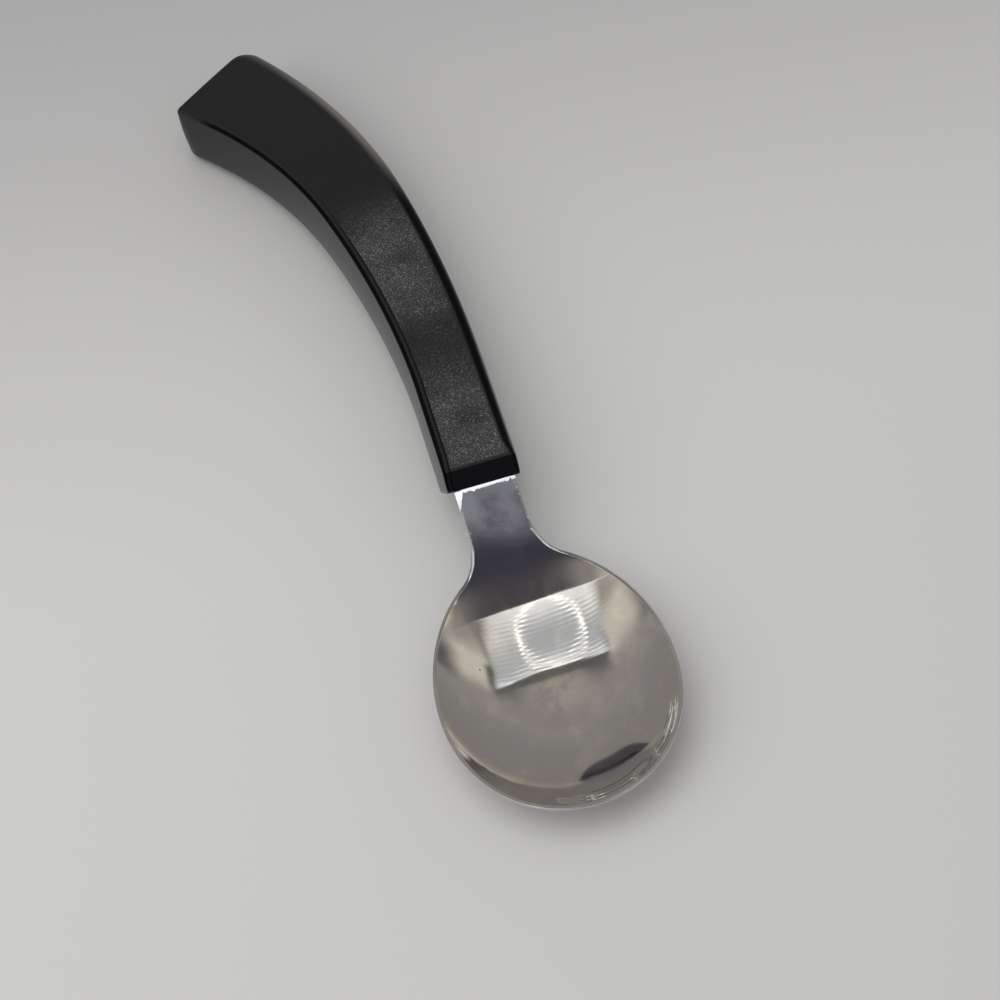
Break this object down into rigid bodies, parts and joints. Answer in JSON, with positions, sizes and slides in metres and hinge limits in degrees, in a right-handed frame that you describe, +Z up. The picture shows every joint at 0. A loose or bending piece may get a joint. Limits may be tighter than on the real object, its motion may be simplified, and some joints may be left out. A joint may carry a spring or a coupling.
{
  "type": "left-handed spoon",
  "caption": "Stainless steel spoon with a near-round bowl and a dark moulded handle that bends to the left in its own plane, for eating with the left hand.",
  "frame": {"origin": "on the table, under the middle of the spoon's box", "axes": "+Y from the bowl's tip to the handle's end, +Z up out of the bowl, +X to the right, away from the side that the handle bends to"},
  "size_m": [0.0576, 0.185, 0.0189],
  "materials": {
    "steel": "stainless steel, polished, with fine scratches and faint ripples from forming",
    "handle_plastic": "charcoal plastic with a fine leather grain on top and a smooth satin edge",
    "cover_plastic": "charcoal plastic, plain and matte"
  },
  "bodies": {
    "root": {"spoon_blank": "steel", "handle_shell": "handle_plastic", "handle_base": "cover_plastic"}
  },
  "joints": []
}
